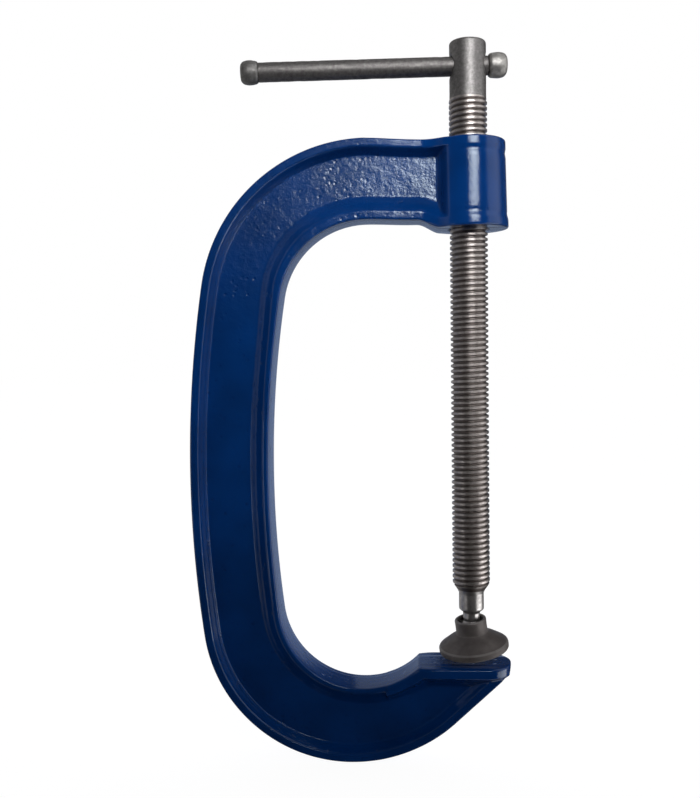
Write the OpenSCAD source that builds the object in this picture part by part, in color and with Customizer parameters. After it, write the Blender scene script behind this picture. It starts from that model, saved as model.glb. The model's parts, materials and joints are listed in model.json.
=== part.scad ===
// G-clamp of the 200 mm class: a cast I-section frame, a screw with a swivel pad
// on its ball end, and a tommy bar that slides through the screw's head.
// The screw's axis is Z, the anvil's working face is z = 0 and the spine lies towards -X.

/* [Frame] */
// Distance from the screw's axis to the deepest point of the throat
throat = 102.9; // [95:0.1:110]
// Depth of the section, from the throat side to the back of the spine
spine_depth = 40.6; // [36:0.5:44]
// Radius of the gentle outward bow along the back of the spine
bow_r = 609; // [500:1:800]
// Height of the middle of the bow above the anvil face
bow_z = 97; // [80:1:110]
// Highest point of the arm above the anvil face
arm_top = 266.5; // [262:0.5:268]
// Underside of the arm above the anvil face
arm_under = 226; // [224:0.1:230]
// Lowest point of the frame, below the anvil face
foot_drop = 50.7; // [46:0.5:54]
// Lowest point of the throat, below the anvil face
throat_drop = 11.8; // [9:0.5:14]
// Outer radius of the corner above the spine
top_r_out = 85; // [80:0.1:92]
// Throat radius of the corner above the spine
top_r_in = 44; // [38:0.5:48]
// Outer radius of the corner below the spine
foot_r_out = 75.4; // [70:0.1:80]
// Outer radius of the foot from its lowest point towards the nose
foot_r_nose = 79.8; // [75:0.1:90]
// Throat radius of the corner below the spine
foot_r_in = 42.4; // [38:0.1:46]
// Width of the two flanges, across the frame
flange_w = 21; // [18:0.5:24]
// Thickness of the web between the flanges
web_t = 8.6; // [6:0.2:12]
// Thickness of the outer flange, to the middle of its fillet
rim_out = 6.2; // [4:0.1:8]
// Thickness of the throat flange, to the middle of its fillet
rim_in = 8.4; // [6:0.1:10]

/* [Boss] */
// Foot of the boss above the anvil face
boss_foot = 221.1; // [218:0.1:223]
// Height of the boss
boss_h = 43.4; // [38:0.1:44]
// Radius of the boss at its foot
boss_r_foot = 19.9; // [17:0.1:21]
// Radius of the boss at its top
boss_r_top = 18.8; // [16:0.1:20]
// How far the two end bands of the boss stand proud of its barrel
band_proud = 0.6; // [0.2:0.1:1.2]
// Height of each end band
band_h = 6.5; // [4:0.5:9]

/* [Anvil] */
// Reach of the anvil past the screw's axis
nose_x = 19.6; // [18:0.1:22]
// Half the width of the anvil plate
anvil_half_w = 13.7; // [11:0.1:15]
// Thickness of the anvil plate
anvil_t = 5.8; // [5:0.1:8]
// Radius of the anvil plate's two front corners
anvil_corner_r = 13; // [6:0.5:13]
// Start of the flat face, on the throat side
face_x = -22.8; // [-26:0.1:-20]
// Start of the widened plate, on the throat side
plate_x = -16; // [-20:0.5:-12]

/* [Screw] */
// Outside diameter of the thread
thread_d = 19.05; // [18:0.05:20]
// Advance of the screw in one turn
pitch = 2.7; // [2.5:0.1:3]
// Diameter of the plain head
head_d = 18.3; // [17:0.1:18.8]
// Top of the head above the anvil face, with the screw at rest
head_top = 314.2; // [310:0.1:318]
// Lower end of the plain head
head_foot = 286; // [284:0.5:293]
// Lower end of the thread
thread_foot = 38.5; // [36:0.1:42]
// Diameter of the turned end below the thread
spigot_d = 12.7; // [11:0.1:14]
// Lower end of the turned part
spigot_foot = 27.6; // [26:0.1:32]
// Diameter of the neck above the ball
neck_d = 9; // [8:0.1:10]
// Diameter of the ball on which the pad swivels
ball_d = 11.6; // [11:0.1:12]
// Centre of the ball above the anvil face, with the screw at rest
ball_z = 16.8; // [16:0.1:18]
// Clearance on the radius between the screw and the boss
thread_gap = 0.08; // [0.05:0.01:0.1]

/* [Swivel pad] */
// Diameter of the pad's face
pad_d = 35.8; // [32:0.1:38]
// Height of the rim round the face
pad_rim_h = 4; // [3:0.1:5]
// Outside diameter of the collar
collar_d = 16.2; // [16:0.1:17]
// Foot of the collar above the pad's face
collar_foot = 10; // [9:0.1:11]
// Whole height of the pad
pad_h = 16.7; // [16.5:0.1:18]
// Centre of the ball socket above the pad's face
socket_h = 11.1; // [11:0.1:11.5]
// Lean of the pad at rest
pad_lean = 8.2; // [0:0.1:9.5]
// Direction of the pad's lean about Z, 0 towards +X
lean_dir = 209; // [0:1:359]

/* [Tommy bar] */
// Diameter of the bar
bar_d = 9.5; // [9:0.1:10.2]
// Height of the bar's hole above the anvil face
bar_z = 302.1; // [299:0.1:303]
// Diameter of the hole through the head
bar_hole_d = 10.4; // [10:0.1:11.2]
// Slope of the bar in its loose hole, rising towards the near knob
bar_slope = 1.4; // [0:0.1:2]
// Turn of the bar about the screw's axis, at rest
bar_turn = 6; // [-10:0.5:10]
// Distance from the screw's axis to the near knob's shoulder
near_shoulder = 10.2; // [10:0.1:12]
// Distance from the screw's axis to the far knob's shoulder
far_shoulder = 104.3; // [90:0.1:110]
// Diameter of the near knob
near_knob_d = 12.5; // [11:0.1:14]
// Length of the near knob
near_knob_l = 9.5; // [8:0.1:12]
// Diameter of the far knob
far_knob_d = 11.9; // [11:0.1:14]
// Length of the far knob
far_knob_l = 9.1; // [8:0.1:12]

/* [Hidden] */
$fn = 96;
eps = 0.01;

// The bow of the spine and the four corner arcs that run smoothly into it
bow_x = bow_r - throat - spine_depth;
bow_r_in = bow_r - spine_depth;
function corner(r, bow, z) = [bow_x - sqrt(pow(bow - r, 2) - pow(z - bow_z, 2)), z];
top_c_out = corner(top_r_out, bow_r, arm_top - top_r_out);
top_c_in = corner(top_r_in, bow_r_in, arm_under - top_r_in);
foot_c_out = corner(foot_r_out, bow_r, foot_r_out - foot_drop);
foot_c_nose = [foot_c_out[0], foot_r_nose - foot_drop];
foot_c_in = corner(foot_r_in, bow_r_in, foot_r_in - throat_drop);
function bow_angle(c) = (atan2(c[1] - bow_z, c[0] - bow_x) + 360) % 360;
function arc(c, r, from, to, steps) =
    [for (i = [0:steps]) let (a = from + (to - from) * i / steps) c + r * [cos(a), sin(a)]];
arm_angle = 86;      // where the arm's top leaves the corner arc for the boss
nose_angle = 313.3;  // where the back of the foot turns straight towards the nose
heel_angle = 313;    // where the throat arc ends at the anvil's bevel

// The back of the frame, from the arm to the foot, moved inwards by inset
function back_edge(inset) = concat(
    arc(top_c_out, top_r_out - inset, arm_angle, bow_angle(top_c_out), 24),
    arc([bow_x, bow_z], bow_r - inset, bow_angle(top_c_out), bow_angle(foot_c_out), 16),
    arc(foot_c_out, foot_r_out - inset, bow_angle(foot_c_out), 270, 20),
    arc(foot_c_nose, foot_r_nose - inset, 270, nose_angle, 12));
// The throat of the frame, from the anvil back up to the arm, moved into the section by inset
function throat_edge(inset, end) = concat(
    arc(foot_c_in, foot_r_in + inset, end, bow_angle(foot_c_in), 24),
    arc([bow_x, bow_z], bow_r_in + inset, bow_angle(foot_c_in), bow_angle(top_c_in), 16),
    arc(top_c_in, top_r_in + inset, bow_angle(top_c_in), 90, 18));

boss_top = boss_foot + boss_h;
bore_r = thread_d / 2 + thread_gap;
nose_run = 3.5;      // how far the foot's nose stays behind the plate's edge
nose_foot = [nose_x - nose_run, -anvil_t];
neck_x = -21;        // where the arm's edges turn into the boss
neck_step = 5;       // length of each of the two short slopes below the neck
neck_fall = 0.8;     // how far each of those slopes comes down
tuck = 0.3;          // how far the arm's edges lie inside the boss's two ends
pocket_x = -14.6;    // the pocket's upright end beside the boss
pocket_heel = -12.4; // the pocket's roof under the anvil
pocket_tip = -2;     // the pocket's reach under the anvil
pocket_tip_h = 5;    // height of the pocket at that tip
pocket_end_angle = 302; // where the pocket leaves the throat arc for the anvil
chamfer = 1;
cut = 1;             // how far a cutter runs past the face that it opens
stub_d = 7;          // the turned ends of the bar, which the knobs are pressed on
stub_share = 0.75;   // how deep a stub reaches into its knob

module upright(width) { rotate([90, 0, 0]) linear_extrude(height = width, center = true) children(); }

module frame_outline() {
    polygon(concat(
        [[0, boss_top - tuck], [neck_x, boss_top - tuck]],
        back_edge(0),
        [nose_foot, [nose_foot[0], 0], [face_x, 0]],
        throat_edge(0, heel_angle),
        [[neck_x - neck_step, arm_under - neck_fall], [neck_x, arm_under - 2 * neck_fall],
         [neck_x + neck_step, boss_foot + tuck], [0, boss_foot + tuck]]));
}

module pocket_outline() {
    polygon(concat(
        [[pocket_x, boss_top - rim_out - tuck]],
        back_edge(rim_out),
        [[pocket_tip, pocket_heel - pocket_tip_h], [pocket_tip, pocket_heel]],
        throat_edge(rim_in, pocket_end_angle),
        [[pocket_x, arm_under + rim_in - 2 * tuck]]));
}

module boss() {
    slope = (boss_r_foot - boss_r_top) / boss_h;
    barrel_foot = boss_r_foot - band_proud - slope * band_h;
    barrel_top = boss_r_top - band_proud + slope * band_h;
    rotate_extrude() polygon([
        [0, boss_foot], [boss_r_foot - chamfer, boss_foot], [boss_r_foot, boss_foot + chamfer],
        [boss_r_foot, boss_foot + band_h], [barrel_foot, boss_foot + band_h + chamfer],
        [barrel_top, boss_top - band_h - chamfer], [boss_r_top, boss_top - band_h],
        [boss_r_top, boss_top - chamfer], [boss_r_top - chamfer, boss_top], [0, boss_top]]);
}

module anvil_plate() {
    corner_x = nose_x - anvil_corner_r;
    corner_y = anvil_half_w - anvil_corner_r;
    translate([0, 0, -anvil_t]) linear_extrude(height = anvil_t) {
        translate([plate_x, -anvil_half_w]) square([corner_x - plate_x, 2 * anvil_half_w]);
        translate([corner_x - eps, -corner_y]) square([anvil_corner_r + eps, 2 * corner_y]);
        for (side = [-1, 1]) translate([corner_x, side * corner_y]) circle(r = anvil_corner_r);
    }
}

module frame() {
    color("#0c3f92") difference() {
        union() {
            upright(flange_w) frame_outline();
            boss();
            anvil_plate();
        }
        for (side = [-1, 1])
            translate([0, side * (web_t / 2 + flange_w), 0]) upright(2 * flange_w) pocket_outline();
        translate([0, 0, boss_foot - cut]) cylinder(r = bore_r, h = boss_h + 2 * cut);
    }
}

module screw() {
    ball_r = ball_d / 2;
    neck_r = neck_d / 2;
    neck_foot = ball_z + sqrt(pow(ball_r, 2) - pow(neck_r, 2));
    waist = 0.3;         // how much thinner the neck is just above the ball
    taper = 2;           // length of the cone at each end of the turned part
    runout = 0.5;        // length of the thread's run-out into the head
    dome_h = 1.2;        // height of the head's rounded top edge
    dome_in = 2;         // width of that edge
    color("#7b7872") difference() {
        union() {
            translate([0, 0, ball_z]) sphere(d = ball_d);
            rotate_extrude() polygon([
                [0, ball_z], [neck_r - waist, ball_z], [neck_r - waist, neck_foot - waist],
                [neck_r, neck_foot], [neck_r - waist, spigot_foot - taper],
                [spigot_d / 2, spigot_foot], [spigot_d / 2, thread_foot - taper],
                [thread_d / 2, thread_foot], [thread_d / 2, head_foot],
                [head_d / 2, head_foot + runout], [head_d / 2, head_top - dome_h],
                [head_d / 2 - dome_in, head_top], [0, head_top]]);
        }
        bar_frame() rotate([0, 90, 0]) cylinder(d = bar_hole_d, h = 2 * head_d, center = true);
    }
}

// The hole's own frame: its X runs along the level hole, towards the near knob
module bar_frame() { translate([0, 0, bar_z]) rotate([0, 0, bar_turn]) children(); }

// The bar's own frame: its Z runs along the sloping bar, towards the near knob
module along_bar() { bar_frame() rotate([0, 90 - bar_slope, 0]) children(); }

module leaning() {
    translate([0, 0, ball_z]) rotate([0, pad_lean * cos(lean_dir), 0])
        rotate([-pad_lean * sin(lean_dir), 0, 0]) children();
}

module swivel_pad() {
    pad_r = pad_d / 2;
    collar_r = collar_d / 2;
    edge = 0.8;          // rounding of the rim's two edges
    fillet = 1.3;        // width of the fillet round the collar's foot
    flare = 0.2;         // how much the collar widens towards its mouth
    chamber_r = 7.3;     // room for the retaining ring
    chamber_top = 4.4;   // height of that room above the ball's centre
    lip_r = 6.3;         // mouth that keeps the ring in
    lip_h = 0.9;         // height of the cone behind the lip
    socket_r = ball_d / 2 + 0.2;
    mouth = pad_h - socket_h;
    color("#524e49") leaning() difference() {
        translate([0, 0, -socket_h]) rotate_extrude() polygon([
            [0, 0], [pad_r - edge, 0], [pad_r, edge], [pad_r, pad_rim_h - edge],
            [pad_r - edge, pad_rim_h], [collar_r + fillet, collar_foot - fillet],
            [collar_r - flare, collar_foot + edge], [collar_r, pad_h - 2 * flare],
            [collar_r - 2 * flare, pad_h], [0, pad_h]]);
        sphere(r = socket_r);
        cylinder(r = chamber_r, h = chamber_top);
        cylinder(r = lip_r, h = mouth + cut);
        translate([0, 0, mouth - lip_h]) cylinder(r1 = lip_r, r2 = chamber_r, h = lip_h + eps);
    }
}

module retaining_ring() {
    ring_foot = 2.4;     // height of the ring above the ball's centre
    ring_t = 0.8;
    ring_r_out = 6.7;
    ring_r_in = 5.4;
    color("#8d8d89") translate([0, 0, ball_z + ring_foot]) difference() {
        cylinder(r = ring_r_out, h = ring_t);
        translate([0, 0, -cut]) cylinder(r = ring_r_in, h = ring_t + 2 * cut);
    }
}

// A barrel-shaped knob that stands on its shoulder and is bored for the end of the bar
module knob(d, l) {
    edge = 1.5;          // width and height of the rounded ends
    brow = 0.5;          // how far each end's edge lies inside the belly
    belly = 0.42;        // share of the length at which the straight belly starts
    difference() {
        rotate_extrude() polygon([
            [0, 0], [d / 2 - edge, 0], [d / 2 - brow, edge], [d / 2, l * belly],
            [d / 2, l * (1 - belly)], [d / 2 - brow, l - edge], [d / 2 - edge, l], [0, l]]);
        translate([0, 0, -cut]) cylinder(d = stub_d, h = l * stub_share + cut);
    }
}

module near_knob() {
    color("#85817b") along_bar() translate([0, 0, near_shoulder]) knob(near_knob_d, near_knob_l);
}
module far_knob() {
    color("#85817b") along_bar() translate([0, 0, -far_shoulder]) mirror([0, 0, 1])
        knob(far_knob_d, far_knob_l);
}

module tommy_bar() {
    near_stub = near_knob_l * stub_share;
    far_stub = far_knob_l * stub_share;
    color("#7f7b75") along_bar() rotate_extrude() polygon([
        [0, -far_shoulder - far_stub], [stub_d / 2, -far_shoulder - far_stub], [stub_d / 2, -far_shoulder],
        [bar_d / 2, -far_shoulder], [bar_d / 2, near_shoulder], [stub_d / 2, near_shoulder],
        [stub_d / 2, near_shoulder + near_stub], [0, near_shoulder + near_stub]]);
}

frame();
screw();
swivel_pad();
retaining_ring();
tommy_bar();
near_knob();
far_knob();
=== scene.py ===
"""The looks of the G-clamp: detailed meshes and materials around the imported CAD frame.

Lengths are millimetres while a piece is being shaped, and metres once it is a Blender mesh.
The screw's axis is Z, the anvil's face is z = 0, the spine lies towards -X.
"""
import json
import math

import bmesh
import bpy
import numpy as np
from mathutils import Matrix, Vector, noise


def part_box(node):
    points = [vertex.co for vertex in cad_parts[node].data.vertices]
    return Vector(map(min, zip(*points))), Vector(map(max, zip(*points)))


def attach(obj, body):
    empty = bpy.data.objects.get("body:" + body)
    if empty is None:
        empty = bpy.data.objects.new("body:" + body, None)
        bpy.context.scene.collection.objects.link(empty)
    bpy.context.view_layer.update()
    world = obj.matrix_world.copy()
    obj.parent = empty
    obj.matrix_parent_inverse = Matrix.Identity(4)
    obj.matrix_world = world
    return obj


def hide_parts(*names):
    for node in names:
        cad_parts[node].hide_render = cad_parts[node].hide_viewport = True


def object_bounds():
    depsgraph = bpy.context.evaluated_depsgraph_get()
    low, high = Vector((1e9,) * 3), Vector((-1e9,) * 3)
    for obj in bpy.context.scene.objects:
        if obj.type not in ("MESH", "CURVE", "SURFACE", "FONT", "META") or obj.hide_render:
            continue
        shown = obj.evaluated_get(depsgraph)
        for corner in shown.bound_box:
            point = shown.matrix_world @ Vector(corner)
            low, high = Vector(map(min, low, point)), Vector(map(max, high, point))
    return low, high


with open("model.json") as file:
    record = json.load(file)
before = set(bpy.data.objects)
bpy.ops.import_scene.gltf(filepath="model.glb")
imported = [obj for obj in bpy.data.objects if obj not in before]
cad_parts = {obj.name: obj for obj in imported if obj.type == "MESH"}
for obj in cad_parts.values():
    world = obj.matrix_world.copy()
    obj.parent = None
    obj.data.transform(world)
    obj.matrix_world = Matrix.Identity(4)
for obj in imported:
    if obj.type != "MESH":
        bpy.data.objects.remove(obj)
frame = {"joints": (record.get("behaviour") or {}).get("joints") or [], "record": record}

CAD_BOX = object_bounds()
MM = 0.001
WELD = 1e-6                      # vertices nearer than this are made one, in metres


def cad_box(node):
    """Lowest and highest corner of a CAD node, in millimetres."""
    low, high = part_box(node)
    return np.array(low) / MM, np.array(high) / MM


# ---------------------------------------------------------------- sizes from the CAD frame
FRAME_LOW, FRAME_HIGH = cad_box("frame")
SCREW_LOW, SCREW_HIGH = cad_box("screw")
BACK_X = FRAME_LOW[0]            # back of the spine
FOOT_Z = FRAME_LOW[2]            # lowest point of the frame
ARM_TOP = FRAME_HIGH[2]          # highest point of the arm
NOSE_X = FRAME_HIGH[0]           # tip of the anvil plate
BOSS_R_FOOT = FRAME_HIGH[1]      # the boss is the widest part of the frame
THREAD_R = 19.05 / 2             # outside radius of the thread
HEAD_TOP = SCREW_HIGH[2]

# ---------------------------------------------------------------- the frame's outline
SPINE_DEPTH = 40.6               # from the back of the spine to the throat
BOW_R = 609.0                    # radius of the spine's slight bow, and the height of its middle
BOW_Z = 97.0
BOW_C = np.array([BACK_X + BOW_R, BOW_Z])
ARM_UNDER = 226.0                # underside of the arm
ARM_SAG = 0.7                    # how far it sinks before the step down to the boss
THROAT_FOOT = -11.8              # lowest point of the throat
TOP_R_OUT, TOP_R_IN = 85.0, 44.0
FOOT_R_OUT, FOOT_R_IN = 75.4, 42.4
NOSE_R_OUT = 79.8                # outer radius of the foot from its lowest point to the nose
NOSE_ANGLE = 313.3               # where both foot arcs end, in degrees
FACE_X = -22.8                   # start of the anvil's flat face
STATION = 1.0                    # distance between stations along the frame
IN_ARM_Z, IN_FOOT_Z = 200, 40    # arm and boss are above the first height, the anvil below the second

# ---------------------------------------------------------------- the frame's section
FLANGE_H = 10.5                  # half the width of the flanges
WEB_H = 4.3                      # half the thickness of the web
EDGE_R = 1.0                     # rounding of the flanges' outer edges
DRAFT = 0.12                     # how far the walls' middle stands out beyond their edges
RIM_OUT, RIM_OUT_SLOPE = 7.4, 3.2          # foot of the outer rim's slope, and its width
RIM_IN_FLAT, RIM_IN = 2.5, 10.0            # start and foot of the inner rim's slope, from the throat
RIM_WIDER = 2.4                  # how much further its foot is in the arm and under the anvil

BOSS_FOOT, BOSS_TOP = 221.1, 264.5
BOSS_R_TOP = 18.8
BAND_H, BAND_PROUD = 6.5, 0.5
TOP_BAND_PROUD = 0.12            # the upper band is faint
TOP_GROOVE, FOOT_GROOVE = 0.34, 0.16       # how deep the line between band and barrel is
FLARE_X, FLARE_W, FLARE_H = -24.0, 14.0, 6.4    # start, width and height of the flare into the boss
WALL_FOOT_X, WALL_SLOPE = -15.6, 2.5       # the pocket's end wall beside the boss

PLATE_T = 5.8                    # thickness of the anvil plate
PLATE_H = 13.7                   # half its width
PLATE_R = 13.0                   # radius of its two front corners
PLATE_EDGE = 1.5                 # rounding of its upper edge
PLATE_SIDE, PLATE_TAPER = 4.9, 1.5         # depth of its upright sides, and their slope below

# ---------------------------------------------------------------- sizes of the moving pieces
PITCH = 2.7
THREAD_CUT = 1.30                # depth of the thread
THREAD_ROWS = 12                 # rows of the mesh in one turn of the thread
COLUMNS = 60                     # columns of the screw's mesh, all the way round
HEAD_R = 9.15
SPIGOT_R, NECK_R = 6.35, 4.3     # the turned length below the thread, and the neck above the ball
NECK_FOOT, NECK_TOP, SPIGOT_FOOT = 22.6, 25.6, 28.0
THREAD_FOOT, HEAD_FOOT = 37.7, 286.4
RUN_OUT_FOOT = THREAD_FOOT - 1.6 # top of the spigot, where the cone up to the thread starts
BALL_D = 11.6
BALL_Z = SCREW_LOW[2] + BALL_D / 2
HOLE_R, HOLE_MOUTH_R = 5.2, 7.2  # the cross hole in the head, and its countersunk mouths

PAD_R, PAD_H, COLLAR_R = 17.9, 16.7, 8.1
SOCKET_R, SOCKET_H = 6.0, 11.1   # radius of the ball's socket, and its middle above the pad's face
RING_Z = BALL_Z + 2.4            # foot of the retaining ring
RING_IN, RING_OUT = 5.45, 6.65   # its radii
RING_T, RING_EDGE = 0.8, 0.15    # its thickness, and its small chamfers
BAR_R = 4.75
NEAR_SHOULDER, FAR_SHOULDER = 10.2, 104.3       # the knobs' inner faces, from the screw's axis
NEAR_STUB, FAR_STUB = 7.0, 6.7   # how far the bar's turned ends go into the knobs
STUB_R, KNOB_BORE_R = 3.5, 3.55


def corner_centre(radius, bow_radius, z):
    """Centre of a corner arc that runs smoothly into a bow arc of that radius."""
    reach = math.sqrt((bow_radius - radius) ** 2 - (z - BOW_Z) ** 2)
    return np.array([BOW_C[0] - reach, z])


def angle_from_bow(point):
    """Angle at which a point is seen from the middle of the bow, in degrees from 0 to 360."""
    return math.degrees(math.atan2(point[1] - BOW_C[1], point[0] - BOW_C[0])) % 360


def arc(centre, radius, start, end, count):
    """Points on an arc, both ends included; angles in degrees."""
    a = np.radians(np.linspace(start, end, count))
    return centre + radius * np.stack([np.cos(a), np.sin(a)], axis=1)


def ramp(value, start, end):
    """0 before start, 1 after end, smooth between."""
    t = np.clip((value - start) / (end - start), 0, 1)
    return t * t * (3 - 2 * t)


def soft_max(a, b, blend):
    """The larger of two heights, with a fillet of about that size where they cross."""
    h = np.clip(0.5 + 0.5 * (a - b) / blend, 0, 1)
    return b + (a - b) * h + blend * h * (1 - h)


def soft_min(a, b, blend):
    """The smaller of two heights, blended in the same way."""
    return -soft_max(-a, -b, blend)


def arm_top_z(x):
    """Top of the arm, which dips a little before it meets the boss."""
    return ARM_TOP + (BOSS_TOP - ARM_TOP) * ramp(x, -56, -20)


def arm_foot_z(x):
    """Underside of the arm, which steps down to the boss's foot."""
    sag = -ARM_SAG * ramp(x, -52, -30)
    step = (BOSS_FOOT - ARM_UNDER + ARM_SAG) * ramp(x, -26, -14.5)
    return ARM_UNDER + sag + step


def arm_stations(top_out, top_in):
    """Both outlines from the boss's end along the arm to the upper corner."""
    turn = np.radians(np.linspace(90, -20, 64))
    boss_x = BOSS_R_FOOT * np.sin(turn)
    arm_x = np.arange(boss_x[-1] - 0.35, -30, -0.45)
    neck_x = np.arange(arm_x[-1] - STATION, top_in[0], -STATION)
    xs = np.concatenate([boss_x, arm_x, neck_x])
    shift = (top_out[0] - top_in[0]) * ramp(xs, -30, top_in[0])
    outer = np.stack([xs + shift, arm_top_z(xs + shift)], axis=1)
    return outer, np.stack([xs, arm_foot_z(xs)], axis=1)


def paired_arcs(outer_arc, inner_arc, length):
    """The same number of points on two arcs, each (centre, radius, start, end), without the last."""
    count = round(length / STATION)
    return arc(*outer_arc, count)[:-1], arc(*inner_arc, count)[:-1]


def anvil_stations(rise, foot_in):
    """Both outlines from the end of the foot's arcs to the nose: underside, bevel and flat face."""
    back = arc(rise, NOSE_R_OUT, NOSE_ANGLE, NOSE_ANGLE, 1)[0]
    heel = arc(foot_in, FOOT_R_IN, NOSE_ANGLE, NOSE_ANGLE, 1)[0]
    lip = np.array([NOSE_X - 3.5, -PLATE_T])
    nose = np.array([NOSE_X - 1.3, -PLATE_T + 0.3])
    corner_x = NOSE_X - PLATE_R
    straight = np.arange(heel[0], corner_x, 0.8)
    round_end = corner_x + PLATE_R * np.sin(np.radians(np.linspace(0, 90, 22)))
    xs = np.concatenate([straight, round_end])
    share = (xs - heel[0]) / (NOSE_X - heel[0])
    under = [np.interp(share, [0, 0.93, 1], [back[k], lip[k], nose[k]]) for k in (0, 1)]
    bevel = heel[1] * (FACE_X - xs) / (FACE_X - heel[0])
    face_z = soft_min(bevel, 0, 0.5)
    face_z[0] = heel[1]
    return np.stack(under, axis=1), np.stack([xs, face_z], axis=1)


def frame_stations():
    """Matching points along the frame's outer and inner outlines, from the boss to the nose.

    The third result is how far, and which way, the outer wall's middle may stand out there.
    """
    top_out = corner_centre(TOP_R_OUT, BOW_R, ARM_TOP - TOP_R_OUT)
    top_in = corner_centre(TOP_R_IN, BOW_R - SPINE_DEPTH, ARM_UNDER - TOP_R_IN)
    foot_out = corner_centre(FOOT_R_OUT, BOW_R, FOOT_R_OUT + FOOT_Z)
    foot_in = corner_centre(FOOT_R_IN, BOW_R - SPINE_DEPTH, FOOT_R_IN + THROAT_FOOT)
    rise = np.array([foot_out[0], FOOT_Z + NOSE_R_OUT])
    a_out, a_in = angle_from_bow(top_out), angle_from_bow(top_in)
    b_out, b_in = angle_from_bow(foot_out), angle_from_bow(foot_in)
    pairs = [
        arm_stations(top_out, top_in),
        paired_arcs((top_out, TOP_R_OUT, 90, a_out), (top_in, TOP_R_IN, 90, a_in),
                    math.radians(a_out - 90) * (TOP_R_OUT + TOP_R_IN) / 2),
        paired_arcs((BOW_C, BOW_R, a_out, b_out), (BOW_C, BOW_R - SPINE_DEPTH, a_in, b_in),
                    math.radians(b_out - a_out) * BOW_R),
        paired_arcs((foot_out, FOOT_R_OUT, b_out, 270), (foot_in, FOOT_R_IN, b_in, 270),
                    math.radians(270 - b_out) * (FOOT_R_OUT + FOOT_R_IN) / 2),
        paired_arcs((rise, NOSE_R_OUT, 270, NOSE_ANGLE), (foot_in, FOOT_R_IN, 270, NOSE_ANGLE),
                    math.radians(NOSE_ANGLE - 270) * (NOSE_R_OUT + FOOT_R_IN) / 2),
        anvil_stations(rise, foot_in)]
    outer = np.concatenate([pair[0] for pair in pairs])
    inner = np.concatenate([pair[1] for pair in pairs])
    across = outer - inner
    across = across / np.maximum(np.hypot(across[:, 0], across[:, 1]), 1e-9)[:, None]
    draft = across * (draft_weight(inner) * DRAFT)[:, None]
    return outer - draft, inner + draft, draft


def draft_weight(points):
    """1 where the walls have draft, 0 on the boss's ends and the anvil's face."""
    x, z = points[:, 0], points[:, 1]
    near_boss = ramp(x, -40, -24) * (z > IN_ARM_Z)
    near_anvil = ramp(x, -44, -28) * (z < IN_FOOT_Z)
    return 1 - near_boss - near_anvil


# ---------------------------------------------------------------- the frame's surface
def distance_to(points, line):
    """Distance of each point from a polyline."""
    best = np.full(len(points), 1e9)
    for a, b in zip(line[:-1], line[1:]):
        side = b - a
        square = max(float(side @ side), 1e-12)
        t = np.clip(((points - a) @ side) / square, 0, 1)
        gap = points - a - np.outer(t, side)
        best = np.minimum(best, np.hypot(gap[:, 0], gap[:, 1]))
    return best


def rounded_edge(height, inset, radius):
    """Height of a flange near its outer edge, which is rounded to that radius."""
    back = np.clip(radius - inset, 0, radius)
    return height - radius + np.sqrt(radius ** 2 - back ** 2)


def boss_radius(z, band=1.0):
    """Radius of the boss: a slight draft, a band at each end and a groove beside each band.

    The relief of bands and grooves fades out as band falls from 1 to 0.
    """
    draft = BOSS_R_FOOT + (BOSS_R_TOP - BOSS_R_FOOT) * (z - BOSS_FOOT) / (BOSS_TOP - BOSS_FOOT)
    depth = np.minimum(z - BOSS_FOOT, BOSS_TOP - z)
    upper = z > (BOSS_FOOT + BOSS_TOP) / 2
    proud = np.where(upper, TOP_BAND_PROUD, BAND_PROUD)
    groove = ramp(depth, BAND_H - 2.4, BAND_H) * (1 - ramp(depth, BAND_H, BAND_H + 2.6))
    relief = proud * (1 - ramp(depth, BAND_H - 3.2, BAND_H + 1.2))
    relief -= np.where(upper, TOP_GROOVE, FOOT_GROOVE) * groove
    back = np.clip(EDGE_R - depth, 0, EDGE_R)
    return draft - BAND_PROUD + band * relief - EDGE_R + np.sqrt(EDGE_R ** 2 - back ** 2)


def plate_height(x):
    """Half width of the anvil plate, with its round front corners."""
    back = np.clip(x - (NOSE_X - PLATE_R), 0, PLATE_R)
    rounded = PLATE_H - PLATE_R + np.sqrt(PLATE_R ** 2 - back ** 2)
    widen = ramp(x, -36, -20)
    return FLANGE_H + (rounded - FLANGE_H) * widen


def rim_section(x, z, d_out, d_in, flange):
    """Half thickness of the I section: two rims of that height, and the thin web between them."""
    in_arm = ramp(z, 165, 222)
    under_anvil = ramp(x, -40, -22) * ramp(-z, -8, -1)
    flat_in = RIM_IN_FLAT + 2.0 * in_arm
    web_in = RIM_IN + RIM_WIDER * in_arm + RIM_WIDER * under_anvil
    rise = flange - WEB_H
    slope = WEB_H + rise * (RIM_OUT - d_out) / RIM_OUT_SLOPE
    outer_rim = soft_min(flange, soft_max(slope, WEB_H, 0.5), 0.9)
    u = np.clip((web_in - d_in) / (web_in - flat_in), 0, 1.4)
    slope = WEB_H + rise * (0.72 * u + 0.28 * u * u)
    inner_rim = soft_min(flange, np.maximum(slope, WEB_H), 0.9)
    return rounded_edge(soft_max(outer_rim, inner_rim, 0.4), np.minimum(d_out, d_in), EDGE_R)


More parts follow.
